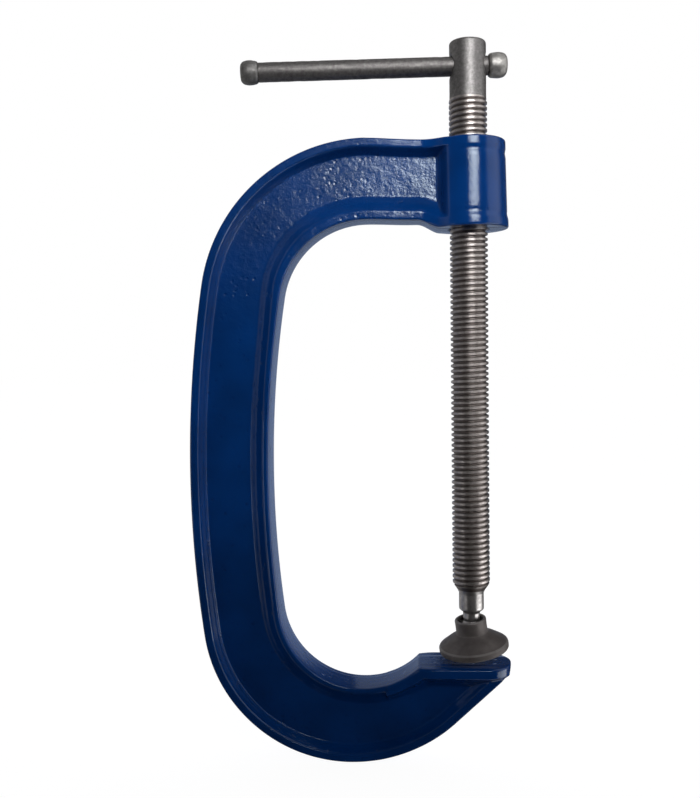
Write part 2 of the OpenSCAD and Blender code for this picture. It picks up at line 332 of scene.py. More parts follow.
def half_thickness(points, d_out, d_in):
    """Half thickness of the frame at points of its middle plane, d_out and d_in from its outlines."""
    x, z = points[:, 0], points[:, 1]
    by_boss = z > IN_ARM_Z
    radius = boss_radius(np.clip(z, BOSS_FOOT, BOSS_TOP), ramp(x, -15, 3))
    barrel = np.sqrt(np.maximum(radius ** 2 - x * x, 0))
    flare = FLANGE_H + FLARE_H * np.clip((x - FLARE_X) / FLARE_W, 0, 1) ** 2
    at_nose = np.minimum(FLANGE_H, plate_height(np.maximum(x, 0)) - 0.8)
    section = rim_section(x, z, d_out, d_in, np.where(by_boss, flare, at_nose))

    wall = WEB_H + (x - WALL_FOOT_X) * WALL_SLOPE
    merged = soft_max(section, soft_min(wall, barrel + 0.4, 3.5), 1.2)
    merged += (barrel - merged) * ramp(x, -13.5, -9)
    height = np.where(by_boss & (x > -30), merged, section)

    taper = PLATE_TAPER * np.clip(d_in - PLATE_SIDE, 0, None)
    plate = rounded_edge(plate_height(x), d_in, PLATE_EDGE) - taper
    is_plate = (z < IN_FOOT_Z) & (x > -44)
    return np.where(is_plate, soft_max(height, plate, 2.2), height)


def row_shares(length):
    """Where the rows lie between the outer outline (0) and the inner one (1).

    They are close together at the edges and where the rims' slopes start and end.
    """
    near = np.array([0, 0.08, 0.25, 0.55, 0.95, 1.3, 2.2, 3.2, 3.8, 4.2, 4.6, 5.2, 5.8, 6.4, 7.0, 7.4, 7.8])
    far = np.array([13.0, 12.4, 11.7, 11.0, 10.3, 10.0, 9.5, 8.9, 8.2, 7.5, 7.1, 6.8, 6.6, 6.2, 5.6,
                    5.0, 4.5, 4.0, 3.4, 2.8, 2.3, 1.7, 1.3, 0.95, 0.55, 0.25, 0.08, 0])
    fit = min(1.0, length / (near[-1] + far[0] + 3))
    near, far = near * fit, far * fit
    middle = np.linspace(near[-1], length - far[0], 20)[1:-1]
    return np.concatenate([near, middle, length - far]) / length


def frame_sheet():
    """Points and heights of the frame's front half, as arrays of stations by rows."""
    outer, inner, draft = frame_stations()
    points = []
    for o, i in zip(outer, inner):
        share = row_shares(float(np.hypot(*(i - o))))
        points.append(o + np.outer(share, i - o))
    points = np.array(points)
    stations, rows = points.shape[:2]
    flat = points.reshape(-1, 2)
    near_boss = ramp(flat[:, 0], -24, -10) * (flat[:, 1] > IN_ARM_Z)
    r = boss_radius(np.clip(flat[:, 1], BOSS_FOOT, BOSS_TOP))
    flat[:, 0] *= 1 + (r / BOSS_R_FOOT - 1) * near_boss
    d_out = distance_to(flat, outer)
    d_in = distance_to(flat, inner)
    height = half_thickness(flat, d_out, d_in)
    height = height + casting_noise(flat, height)
    return points, height.reshape(stations, rows), draft


def casting_noise(flat, height):
    """Unevenness of the sand casting, fading out on the boss and where the frame ends."""
    out = np.empty(len(flat))
    for k, (x, z) in enumerate(flat):
        broad = noise.noise(Vector((x / 21, 3.1, z / 21)))
        fine = noise.noise(Vector((x / 4.2, 7.7, z / 4.2)))
        out[k] = 0.10 * broad + 0.05 * fine
    calm = np.where(flat[:, 1] > IN_ARM_Z, ramp(-flat[:, 0], 6, 16), 1)
    calm = calm * ramp(height, 0.5, 3)
    return out * calm


def grid_faces(rows, columns, start=0):
    """Faces of a grid of vertices, which are numbered row by row from start."""
    faces = []
    for r in range(rows - 1):
        for c in range(columns - 1):
            a = start + r * columns + c
            faces.append((a, a + 1, a + columns + 1, a + columns))
    return faces


def make_object(name, vertices, faces, body, slot, nodes, materials, sharp):
    """A mesh object from millimetre vertices, riding on a body and standing for CAD nodes."""
    mesh = bpy.data.meshes.new(name)
    mesh.from_pydata([tuple(v) for v in np.asarray(vertices) * MM], [], faces)
    bm = bmesh.new()
    bm.from_mesh(mesh)
    bmesh.ops.remove_doubles(bm, verts=bm.verts, dist=WELD)
    bmesh.ops.dissolve_degenerate(bm, edges=bm.edges, dist=WELD)
    bmesh.ops.recalc_face_normals(bm, faces=bm.faces)
    bm.to_mesh(mesh)
    bm.free()
    obj = bpy.data.objects.new(name, mesh)
    bpy.context.scene.collection.objects.link(obj)
    for material in materials:
        mesh.materials.append(material)
    shade(obj, sharp)
    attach(obj, body)
    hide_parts(*nodes)
    return obj


def shade(obj, sharp):
    """Smooth shading, with edges sharper than that many degrees kept crisp."""
    mesh = obj.data
    mesh.polygons.foreach_set("use_smooth", [True] * len(mesh.polygons))
    mesh.set_sharp_from_angle(angle=math.radians(sharp))


def cut(obj, vertices, faces):
    """Cuts a closed cutter out of an object and applies the result."""
    mesh = bpy.data.meshes.new("cutter")
    mesh.from_pydata([tuple(v) for v in np.asarray(vertices) * MM], [], faces)
    cutter = bpy.data.objects.new("cutter", mesh)
    bpy.context.scene.collection.objects.link(cutter)
    modifier = obj.modifiers.new("cut", "BOOLEAN")
    modifier.operation = "DIFFERENCE"
    modifier.solver = "MANIFOLD"
    modifier.object = cutter
    bpy.context.view_layer.update()
    result = bpy.data.meshes.new_from_object(obj.evaluated_get(bpy.context.evaluated_depsgraph_get()))
    obj.modifiers.clear()
    old = obj.data
    obj.data = result
    result.name = old.name
    bpy.data.meshes.remove(old)
    bpy.data.objects.remove(cutter)


def lathe(profile, segments):
    """A turned surface from (radius, z) points; an end with radius 0 closes it there."""
    a = 2 * math.pi * np.arange(segments) / segments
    vertices, faces, before = [], [], None
    for r, z in profile:
        count = 1 if r == 0 else segments
        ring = [(r * math.cos(t), r * math.sin(t), z) for t in a[:count]]
        start = len(vertices)
        vertices += ring
        if before is not None:
            faces += bridge(before, (start, count), segments)
        before = (start, count)
    return np.array(vertices), faces


def bridge(low, high, segments):
    """Faces between two rings, each given as (first vertex, count); a pole has one vertex."""
    (a, a_count), (b, b_count) = low, high
    faces = []
    for s in range(segments):
        t = (s + 1) % segments
        if a_count == 1:
            faces.append((a, b + t, b + s))
        elif b_count == 1:
            faces.append((a + s, a + t, b))
        else:
            faces.append((a + s, a + t, b + t, b + s))
    return faces


def smooth_profile(points, radius):
    """A (radius, z) outline with its corners rounded to about that radius, both ends as they are."""
    steps = 4
    points = [np.array(p, float) for p in points]
    out = [points[0]]
    for before, here, after in zip(points[:-2], points[1:-1], points[2:]):
        back, ahead = before - here, after - here
        reach = min(radius, np.hypot(*back) * 0.45, np.hypot(*ahead) * 0.45)
        start = here + back / np.hypot(*back) * reach
        end = here + ahead / np.hypot(*ahead) * reach
        for k in range(steps + 1):
            t = k / steps
            out.append((1 - t) ** 2 * start + 2 * t * (1 - t) * here + t * t * end)
    out.append(points[-1])
    return out


def fill_profile(points, step):
    """The same outline with extra points, so that no stretch along Z is longer than step."""
    points = [np.asarray(p) for p in points]
    out = [points[0]]
    for a, b in zip(points[:-1], points[1:]):
        count = max(1, math.ceil(abs(b[1] - a[1]) / step))
        for k in range(1, count + 1):
            out.append(a + (b - a) * k / count)
    return out


def along(direction, position):
    """Matrix that turns Z towards a direction and moves the origin to a position."""
    turn = Vector((0, 0, 1)).rotation_difference(Vector(direction)).to_matrix().to_4x4()
    return Matrix.Translation(Vector(position)) @ turn


def moved(vertices, matrix):
    """Vertices after a rotation and a move, given as a 4 by 4 matrix in millimetres."""
    m = np.array(matrix)
    return np.asarray(vertices) @ m[:3, :3].T + m[:3, 3]


def rough_up(vertices, size, depth, seed):
    """Small dents of that size and depth: vertices move towards the Z axis where noise is negative."""
    out = np.array(vertices, float)
    for v in out:
        r = math.hypot(v[0], v[1])
        if r > 0.5:
            n = noise.noise(Vector((v[0] / size + seed, v[1] / size, v[2] / size)))
            v[:2] *= 1 + depth * min(n, 0) / r
    return out


# ---------------------------------------------------------------- materials
def new_material(name):
    """An empty node material and its Principled shader."""
    material = bpy.data.materials.new(name)
    material.use_nodes = True
    tree = material.node_tree
    return material, tree, tree.nodes["Principled BSDF"]


def add(tree, kind, settings=None, **inputs):
    """Adds a node, with settings for its properties and inputs as values or sockets."""
    node = tree.nodes.new(kind)
    for key, value in (settings or {}).items():
        setattr(node, key, value)
    for key, value in inputs.items():
        set_input(tree, node.inputs[key.replace("_", " ")], value)
    return node


def set_input(tree, socket, value):
    """Links another socket to this one, or sets its value; a colour of 3 numbers is made opaque."""
    if isinstance(value, bpy.types.NodeSocket):
        tree.links.new(value, socket)
    elif socket.type == "RGBA":
        socket.default_value = (*value, 1)
    else:
        socket.default_value = value


def place(tree, scale=(1, 1, 1)):
    """Object coordinates in millimetres, stretched by scale."""
    coordinate = add(tree, "ShaderNodeTexCoord").outputs["Object"]
    size = tuple(s / MM for s in scale)
    return add(tree, "ShaderNodeMapping", Vector=coordinate, Scale=size).outputs["Vector"]


def noise_value(tree, where, size, detail=3.0, rough=0.55):
    """Noise from 0 to 1, with lumps of about that size in millimetres."""
    node = add(tree, "ShaderNodeTexNoise", Vector=where, Scale=1 / size, Detail=detail, Roughness=rough)
    return node.outputs["Fac"]


def spread(tree, value, low, high, to_low=0.0, to_high=1.0):
    """Maps low..high to to_low..to_high, clamped."""
    node = add(tree, "ShaderNodeMapRange", {"clamp": True}, Value=value, From_Min=low, From_Max=high,
               To_Min=to_low, To_Max=to_high)
    return node.outputs["Result"]


def blend_colour(tree, share, first, second):
    """A colour between two colours or sockets."""
    node = tree.nodes.new("ShaderNodeMix")
    node.data_type = "RGBA"
    for index, value in ((0, share), (6, first), (7, second)):
        set_input(tree, node.inputs[index], value)
    return node.outputs[2]


def arithmetic(tree, operation, first, second=0.0):
    """One Math node; first and second are numbers or sockets."""
    node = add(tree, "ShaderNodeMath", {"operation": operation})
    set_input(tree, node.inputs[0], first)
    set_input(tree, node.inputs[1], second)
    return node.outputs[0]


def product(tree, *factors):
    """The product of several numbers or sockets."""
    result = factors[0]
    for factor in factors[1:]:
        result = arithmetic(tree, "MULTIPLY", result, factor)
    return result


def largest(tree, *values):
    """The largest of several numbers or sockets."""
    result = values[0]
    for value in values[1:]:
        result = arithmetic(tree, "MAXIMUM", result, value)
    return result


def bump(tree, height, depth, strength, normal=None):
    """A Bump node, with depth in millimetres."""
    node = add(tree, "ShaderNodeBump", Strength=strength, Distance=depth * MM, Height=height)
    if normal:
        tree.links.new(normal, node.inputs["Normal"])
    return node.outputs["Normal"]


def finish_shader(tree, shader, normal, **inputs):
    """Sets or links the shader's inputs, by names with _ for a space, and its normal."""
    for key, value in inputs.items():
        set_input(tree, shader.inputs[key.replace("_", " ")], value)
    tree.links.new(normal, shader.inputs["Normal"])


def enamel_pits(tree, where):
    """Depth of the casting's pits, 0 to 1: small, irregular and only in some places."""
    warped = add(tree, "ShaderNodeVectorMath", {"operation": "ADD"})
    wobble = add(tree, "ShaderNodeTexNoise", Vector=where, Scale=1 / 1.6, Detail=2.0)
    tree.links.new(where, warped.inputs[0])
    tree.links.new(wobble.outputs["Color"], warped.inputs[1])
    pits = add(tree, "ShaderNodeTexVoronoi", {"feature": "F1"}, Vector=warped.outputs["Vector"],
               Scale=1 / 3.7)
    sparse = spread(tree, noise_value(tree, where, 8, 1), 0.48, 0.66)
    return product(tree, spread(tree, pits.outputs["Distance"], 0.33, 0.05), sparse)


def enamel_colour(tree, where, pit_depth):
    """Blue that varies a little, with painted shade in the pits, and paler on sharp edges: thinner enamel
    there, and a painted highlight.
    """
    broad = noise_value(tree, where, 34, 2)
    deep = blend_colour(tree, spread(tree, broad, 0.35, 0.65), (0.0006, 0.032, 0.160),
                        (0.0009, 0.043, 0.215))
    # painted shade: the pits are coloured darker
    colour = blend_colour(tree, spread(tree, pit_depth, 0, 1, 0, 0.35), deep, (0.0008, 0.014, 0.085))
    # paler on sharp edges: thinner enamel there, and a painted highlight along the edges
    pointed = add(tree, "ShaderNodeNewGeometry").outputs["Pointiness"]
    broken = spread(tree, noise_value(tree, where, 5.0, 3, 0.6), 0.36, 0.62, 0.10, 1.0)
    thin_enamel_and_highlight = product(tree, spread(tree, pointed, 0.525, 0.60), broken)
    return blend_colour(tree, thin_enamel_and_highlight, colour, (0.070, 0.125, 0.270))


def enamel():
    """Glossy blue enamel on cast iron: coarsest on the arm's web, nearly smooth on the boss."""
    material, tree, shader = new_material("frame_enamel")
    where = place(tree)
    pit_depth = enamel_pits(tree, where)
    at = add(tree, "ShaderNodeSeparateXYZ", Vector=where).outputs
    on_web = spread(tree, arithmetic(tree, "ABSOLUTE", at["Y"]), 6, 9.0, 1.0, 0.0)
    on_web = largest(tree, on_web, spread(tree, at["X"], -38, -22, 0.72, 0.30))
    on_arm = spread(tree, at["Z"], 160, 222, 0.3, 1.0)
    coarse = product(tree, on_web, on_arm)
    normal = None
    for size, detail, rough, depth, strength in (
            (7.0, 2, 0.5, 0.40, 0.9), (2.6, 3, 0.55, 0.24, 0.9), (0.8, 2, 0.5, 0.11, 0.8)):
        lumps = product(tree, noise_value(tree, where, size, detail, rough), coarse)
        normal = bump(tree, lumps, depth, strength, normal)
    level = arithmetic(tree, "SUBTRACT", 1.0, pit_depth)
    normal = bump(tree, product(tree, level, on_web), 0.27, 0.8, normal)
    finish_shader(tree, shader, normal,
                  Base_Color=enamel_colour(tree, where, pit_depth), Specular_Tint=(0.80, 0.93, 1.0),
                  Roughness=spread(tree, coarse, 0.24, 1.0, 0.13, 0.27), IOR=1.5,
                  Specular_IOR_Level=spread(tree, coarse, 0.24, 1.0, 0.36, 0.84),
                  Coat_Weight=0.20, Coat_Roughness=0.05, Coat_Normal=normal)
    return material


def root_darkening(tree, where, deepest, end):
    """How much darker the steel is towards the thread's root, 0 to 0.8, by its distance from the Z axis in
    millimetres.
    """
    at = add(tree, "ShaderNodeSeparateXYZ", Vector=where).outputs
    flat = add(tree, "ShaderNodeCombineXYZ", X=at["X"], Y=at["Y"])
    radius = add(tree, "ShaderNodeVectorMath", {"operation": "LENGTH"})
    tree.links.new(flat.outputs["Vector"], radius.inputs[0])
    return spread(tree, radius.outputs["Value"], end, deepest, 0, 0.8)


def steel(name, light, dark, rough, lump=2.2, grain_depth=0.03, groove=None):
    """Bare steel; groove = (radius where it is darkest, radius where the darkening ends)."""
    material, tree, shader = new_material(name)
    where = place(tree)
    mottle = noise_value(tree, where, lump, 5, 0.65)
    stain = noise_value(tree, where, lump * 6, 3)
    share = product(tree, spread(tree, mottle, 0.32, 0.68), spread(tree, stain, 0.2, 0.8, 0.6, 1.0))
    colour = blend_colour(tree, share, dark, light)
    if groove:
        colour = blend_colour(tree, root_darkening(tree, where, *groove), colour, (0.100, 0.080, 0.070))
    normal = bump(tree, noise_value(tree, where, 0.5, 3, 0.6), grain_depth, 0.6)
    normal = bump(tree, mottle, grain_depth * 1.6, 0.5, normal)
    finish_shader(tree, shader, normal, Base_Color=colour, Metallic=1.0,
                  Roughness=spread(tree, mottle, 0.3, 0.7, rough + 0.08, rough - 0.06))
    return material


def turned_steel():
    """Bright steel with fine rings from the lathe."""
    material, tree, shader = new_material("turned_steel")
    rings = noise_value(tree, place(tree, (0.15, 0.15, 1)), 0.28, 2)
    stain = noise_value(tree, place(tree), 2.5, 4)
    colour = blend_colour(tree, spread(tree, stain, 0.3, 0.7), (0.42, 0.40, 0.39), (0.62, 0.60, 0.585))
    finish_shader(tree, shader, bump(tree, rings, 0.02, 0.6), Base_Color=colour, Metallic=1.0,
                  Roughness=spread(tree, stain, 0.3, 0.7, 0.46, 0.34))
    return material


def phosphated_steel(name, dark, light):
    """Dark satin phosphate with a fine grain, and lighter edges: rubbed steel and a painted highlight."""
    material, tree, shader = new_material(name)
    where = place(tree)
    cloud = noise_value(tree, where, 6, 4)
    pointed = add(tree, "ShaderNodeNewGeometry").outputs["Pointiness"]
    colour = blend_colour(tree, spread(tree, cloud, 0.3, 0.7), dark, light)
    # lighter on sharp edges: rubbed steel, and a painted highlight
    colour = blend_colour(tree, spread(tree, pointed, 0.52, 0.6, 0, 0.6), colour, (0.20, 0.19, 0.185))
    normal = bump(tree, noise_value(tree, where, 0.35, 3, 0.6), 0.02, 0.7)
    finish_shader(tree, shader, normal, Base_Color=colour, Metallic=0.45,
                  Roughness=spread(tree, cloud, 0.3, 0.7, 0.62, 0.50))
    return material


# ---------------------------------------------------------------- the frame
def make_frame(material):
    """The casting: two mirrored sheets joined by walls, with the bore cut through the boss."""
    points, height, draft = frame_sheet()
    stations, rows = height.shape
    front = np.concatenate([points[:, :, :1], -height[:, :, None], points[:, :, 1:]], axis=2)
    back = front * [1, -1, 1]
    vertices = [front.reshape(-1, 3), back.reshape(-1, 3)]
    faces = grid_faces(stations, rows)
    faces += [f[::-1] for f in grid_faces(stations, rows, stations * rows)]
    start = 2 * stations * rows
    across = np.array([-1, -0.8, -0.55, -0.3, -0.12, -0.06, 0.06, 0.12, 0.3, 0.55, 0.8, 1])
    for row, outward in ((0, draft), (rows - 1, -draft)):
        strip = wall_strip(front[:, row], across, outward)
        vertices.append(strip.reshape(-1, 3))
        faces += grid_faces(stations, len(across), start)
        start += stations * len(across)
    vertices.append(flat_strip(front[-1], across).reshape(-1, 3))
    faces += grid_faces(rows, len(across), start)
    obj = make_object("frame_casting", np.concatenate(vertices), faces, "frame", "frame_enamel",
                      ["frame"], [material], 50)
    cut(obj, *bore_cutter())
    shade(obj, 50)


def bore_cutter():
    """The boss's bore, a little wider than the thread, with a chamfer at both ends."""
    clearance, chamfer, beyond = 0.12, 1.2, 4
    r = THREAD_R + clearance
    wide = r + chamfer + beyond
    foot, top = BOSS_FOOT - beyond, BOSS_TOP + beyond
    return lathe([(0, foot), (wide, foot), (r, BOSS_FOOT + chamfer), (r, BOSS_TOP - chamfer),
                  (wide, top), (0, top)], 128)


def flat_strip(edge, across):
    """A flat strip from the front sheet's edge to the back sheet's, with a column for each of across."""
    return np.stack([edge * [1, -a, 1] for a in across], axis=1)


def wall_strip(edge, across, outward):
    """The wall between the two sheets: slightly crowned, with a faint uneven line along its middle.

    outward is how far, and which way, its middle may stand out at each station.
    """
    strip = flat_strip(edge, across)
    seam = np.array([0.5 + 0.5 * noise.noise(Vector((x / 13, 5.0, z / 13))) for x, _, z in edge])
    for column, a in enumerate(across):
        proud = 0.82 * (1 - a * a) + 0.18 * seam * (abs(a) < 0.1)
        strip[:, column, 0] += outward[:, 0] * proud
        strip[:, column, 2] += outward[:, 1] * proud
    return strip


# ---------------------------------------------------------------- axes from the CAD frame
def joint_axis(name):
    """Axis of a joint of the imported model."""
    joint = next(j for j in frame["joints"] if j["name"] == name)
    return Vector(joint["axis"]).normalized()


def mount_axis(name):
    """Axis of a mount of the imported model."""
    mount = next(m for m in frame["record"]["mounts"] if m["name"] == name)
    return Vector(mount["axis"]).normalized()


BAR_AXIS = joint_axis("bar_slide")
BAR_LOW, BAR_HIGH = cad_box("tommy_bar")
BAR_MIDDLE = (BAR_LOW + BAR_HIGH) / 2
BAR_Z = BAR_MIDDLE[2] - BAR_AXIS.z * BAR_MIDDLE[0] / BAR_AXIS.x     # where the bar crosses the screw's axis
PAD_UP = -mount_axis("pad_face")


# ---------------------------------------------------------------- the screw
def thread_depth(turn):
    """Depth of the thread below its crest, 0 to 1, over one turn of 0 to 1."""
    from_root = np.abs((turn % 1) - 0.5) * 2
    return 1 - ramp(from_root, 0.10, 0.66)


def screw_envelope(z):
    """Largest radius that the thread may reach: the run-out at its foot and below the head."""
    foot = SPIGOT_R + (THREAD_R - SPIGOT_R) * ramp(z, RUN_OUT_FOOT, THREAD_FOOT + 4.6) ** 0.8
    head = THREAD_R + (HEAD_R - THREAD_R) * ramp(z, HEAD_FOOT - 2.2, HEAD_FOOT - 0.2)
    return np.minimum(foot, head)


def thread_surface():
    """The rolled thread: rows that follow the helix, flattened onto both ends."""
    share = np.arange(COLUMNS) / COLUMNS
    angle = 2 * math.pi * np.arange(COLUMNS) / COLUMNS
    rows = (int((HEAD_FOOT - THREAD_FOOT) / PITCH) + 2) * THREAD_ROWS
    vertices = []
    for row in range(-THREAD_ROWS, rows):
        z = THREAD_FOOT + PITCH * (row / THREAD_ROWS + share)
        z = np.clip(z, THREAD_FOOT, HEAD_FOOT)
        depth = THREAD_CUT * thread_depth(row / THREAD_ROWS)
        fade = ramp(z, HEAD_FOOT - 0.1, HEAD_FOOT - 2.6)
        r = np.minimum(screw_envelope(z), THREAD_R - depth * fade)
        r = np.where(z <= THREAD_FOOT + 1e-6, screw_envelope(THREAD_FOOT), r)
        vertices.append(np.stack([r * np.cos(angle), r * np.sin(angle), z], axis=1))
    return np.concatenate(vertices), thread_faces(rows + THREAD_ROWS)


def thread_faces(rows):
    """Faces between the rows; the last column joins the first column of the row one turn up."""
    faces = []
    for row in range(rows - 1):
        for c in range(COLUMNS):
            a = row * COLUMNS + c
            b = a + 1 if c + 1 < COLUMNS else (row + THREAD_ROWS) * COLUMNS
            if b + COLUMNS < rows * COLUMNS:
                faces.append((a, b, b + COLUMNS, a + COLUMNS))
    return faces


def joined(*parts):
    """Several (vertices, faces) pairs as one."""
    vertices, faces, start = [], [], 0
    for part_vertices, part_faces in parts:
        vertices.append(part_vertices)
        faces += [tuple(v + start for v in face) for face in part_faces]
        start += len(part_vertices)
    return np.concatenate(vertices), faces


def screw_end():
    """Outline of the turned end: ball, neck, chamfer, spigot and the start of the cone above it."""
    ball = BALL_D / 2
    a = np.radians(np.linspace(-90, 50, 20))
    points = [(0, BALL_Z - ball)] + [(ball * math.cos(t), BALL_Z + ball * math.sin(t)) for t in a[1:]]
    points += [(NECK_R + 0.05, NECK_FOOT), (NECK_R, NECK_TOP), (NECK_R + 0.3, NECK_TOP + 0.5),
               (SPIGOT_R - 0.15, SPIGOT_FOOT - 0.6), (SPIGOT_R, SPIGOT_FOOT), (SPIGOT_R, RUN_OUT_FOOT)]
    thread_start = (float(screw_envelope(THREAD_FOOT)), THREAD_FOOT)
    return fill_profile(smooth_profile(points, 0.35) + [thread_start], 0.8)


def screw_head():
    """The plain head, turned and a little dented above its foot."""
    profile = [(HEAD_R, HEAD_FOOT), (HEAD_R, HEAD_TOP - 1.3), (HEAD_R - 0.5, HEAD_TOP - 0.5),
               (HEAD_R - 3, HEAD_TOP - 0.08), (0, HEAD_TOP)]
    vertices, faces = lathe(fill_profile(smooth_profile(profile, 0.5), 0.9), COLUMNS)
    dented = vertices[:, 2] > HEAD_FOOT + 0.4
    vertices[dented] = rough_up(vertices, 3.5, 0.10, 2.0)[dented]
    return vertices, faces


def cross_hole():
    """Cutter for the bar's hole through the head, level, with countersunk mouths."""
    deep, mouth, reach = HEAD_R - 1.0, HEAD_R + 0.3, 20
    half = [(HOLE_R, deep), (HOLE_MOUTH_R, mouth), (HOLE_MOUTH_R, reach), (0, reach)]
    profile = [(r, -y) for r, y in reversed(half)] + half
    vertices, faces = lathe(smooth_profile(profile, 0.3), 64)
    level = Vector((BAR_AXIS.x, BAR_AXIS.y, 0)).normalized()
    return moved(vertices, along(level, (0, 0, BAR_Z))), faces


def make_screw(materials):
    """Head, rolled thread, turned end, neck and ball in one closed mesh with a cross hole."""
    shape = joined(lathe(screw_end(), COLUMNS), thread_surface(), screw_head())
    obj = make_object("screw_body", *shape, "screw", "screw_steel", ["screw"], materials, 40)
    cut(obj, *cross_hole())
    shade(obj, 40)
    for face in obj.data.polygons:
        z = face.center.z / MM
        face.material_index = 0 if z > HEAD_FOOT - 0.6 else (1 if z > THREAD_FOOT - 0.2 else 2)


# ---------------------------------------------------------------- the pad, ring, bar and knobs
def pad_outline():
    """Outline of the pad as (radius, height above its face), from the face round to the socket."""
    outside = [(0, 0), (PAD_R - 0.7, 0), (PAD_R, 0.7), (PAD_R, 3.1), (PAD_R - 0.5, 3.7),
               (12.6, 6.9), (9.4, 8.7), (COLLAR_R - 0.02, 9.7), (COLLAR_R - 0.08, 13),
               (COLLAR_R, PAD_H - 0.5), (COLLAR_R - 0.35, PAD_H), (6.75, PAD_H), (6.35, PAD_H - 0.5),
               (6.4, PAD_H - 1.0), (7.3, PAD_H - 2.0), (7.3, SOCKET_H + 0.2), (SOCKET_R, SOCKET_H)]
    a = np.radians(np.linspace(-6, -88, 16))
    socket = [(SOCKET_R * math.cos(t), SOCKET_H + SOCKET_R * math.sin(t)) for t in a]
    return smooth_profile(outside + socket + [(0, SOCKET_H - SOCKET_R)], 0.45)


def pad_material(radius, height):
    """Index of the material at that place: 0 cone and face, 1 rim and collar in a lighter copy as painted
    light, 2 edges in a lighter copy still as painted highlight, also rubbed.
    """
    rim_edge = 3.0 < height < 4.2 and radius > PAD_R - 0.9
    collar_edge = height > PAD_H - 0.55 and radius > 7.2
    # painted highlight: the edges get the lightest copy of the pad's steel, also rubbed
    if rim_edge or collar_edge:
        return 2
    # painted light: the rim and collar get a lighter copy of the pad's steel
    return 1 if radius > PAD_R - 0.8 or height > 9.5 else 0


def make_pad(materials):
    """The swivel pad: a disc with a conical top, and a collar bored for the ball and the ring."""
    vertices, faces = lathe(fill_profile(pad_outline(), 0.9), 128)
    placing = along(PAD_UP, (0, 0, BALL_Z)) @ Matrix.Translation((0, 0, -SOCKET_H))
    pad = make_object("pad_body", moved(vertices, placing), faces, "pad", "pad_steel", ["swivel_pad"],
                      materials, 35)
    ball = Vector((0, 0, BALL_Z))
    for face in pad.data.polygons:
        offset = face.center / MM - ball
        up = offset.dot(PAD_UP)
        face.material_index = pad_material((offset - PAD_UP * up).length, up + SOCKET_H)


def make_ring(material):
    """The split retaining ring: a flat section with small chamfers, and a gap."""
    low, high = RING_IN + RING_EDGE, RING_OUT - RING_EDGE
    top = RING_T - RING_EDGE
    section = [(RING_IN, RING_EDGE), (low, 0.0), (high, 0.0), (RING_OUT, RING_EDGE),
               (RING_OUT, top), (high, RING_T), (low, RING_T), (RING_IN, top)]
    vertices, faces = [], []
    stops = np.radians(np.linspace(8, 352, 80))
    for t in stops:
        vertices += [(r * math.cos(t), r * math.sin(t), RING_Z + z) for r, z in section]
    count = len(section)
    for k in range(len(stops) - 1):
        for c in range(count):
            d = (c + 1) % count
            faces.append((k * count + c, k * count + d, (k + 1) * count + d, (k + 1) * count + c))
    faces.append(tuple(range(count)))
    faces.append(tuple(range(len(vertices) - count, len(vertices)))[::-1])
    make_object("split_ring", vertices, faces, "ring", "ring_steel", ["retaining_ring"], [material], 50)


def make_bar(material):
    """The tommy bar: forged, a little uneven, with turned ends inside the knobs."""
    far, near = -FAR_SHOULDER + 0.03, NEAR_SHOULDER - 0.1
    profile = [(0, -FAR_SHOULDER - FAR_STUB), (STUB_R - 0.1, -FAR_SHOULDER - FAR_STUB), (STUB_R, far),
               (BAR_R - 0.1, far), (BAR_R, far + 0.12), (BAR_R, near - 0.4), (BAR_R - 0.4, near),
               (STUB_R, near), (STUB_R - 0.1, NEAR_SHOULDER + NEAR_STUB), (0, NEAR_SHOULDER + NEAR_STUB)]
    vertices, faces = lathe(fill_profile(smooth_profile(profile, 0.3), 1.0), 72)
    vertices = moved(rough_up(vertices, 3.0, 0.16, 9.0), along(BAR_AXIS, (0, 0, BAR_Z)))
    make_object("bar_rod", vertices, faces, "bar", "bar_steel", ["tommy_bar"], [material], 40)


def make_knob(name, node, radius, length, shoulder, sign, seed, material):
    """A forged barrel knob pressed on the bar's end; sign is the way it points along the bar."""
    belly = radius - 0.03
    outline = smooth_profile([(KNOB_BORE_R, 0.05), (radius - 1.3, 0), (radius - 0.35, 1.0),
                              (belly, length * 0.42), (belly, length * 0.58), (radius - 0.5, length - 1.6),
                              (radius - 1.9, length - 0.25), (0, length)], 0.9)
    bore_end = length * 0.75
    profile = [(0, bore_end), (KNOB_BORE_R, bore_end)] + outline
    vertices, faces = lathe(fill_profile(profile, 0.5), 72)
    inner_face = Vector((0, 0, BAR_Z)) + BAR_AXIS * sign * shoulder
    vertices = moved(rough_up(vertices, 3.2, 0.22, seed), along(BAR_AXIS * sign, inner_face))
    make_object(name, vertices, faces, "bar", "knob_steel", [node], [material], 40)


# ---------------------------------------------------------------- stage, camera and light
FLOOR_HALF = 6.0                             # half the floor's width, in metres
CAMERA_AT = (-0.02498, -0.46119, 0.16038)    # where the photograph was taken from, in metres
CAMERA_TURN, CAMERA_DIP, CAMERA_ROLL = 4.5, 3.0, -0.810    # degrees left, down and anticlockwise
SENSOR_WIDTH = 36
FOCAL_WIDTHS = 900 / 700                     # focal length in picture widths
UNDER_ARM, ON_FOOT = (-0.02, 0, 0.245), (-0.02, 0, 0.05)   # what the lights face, in metres


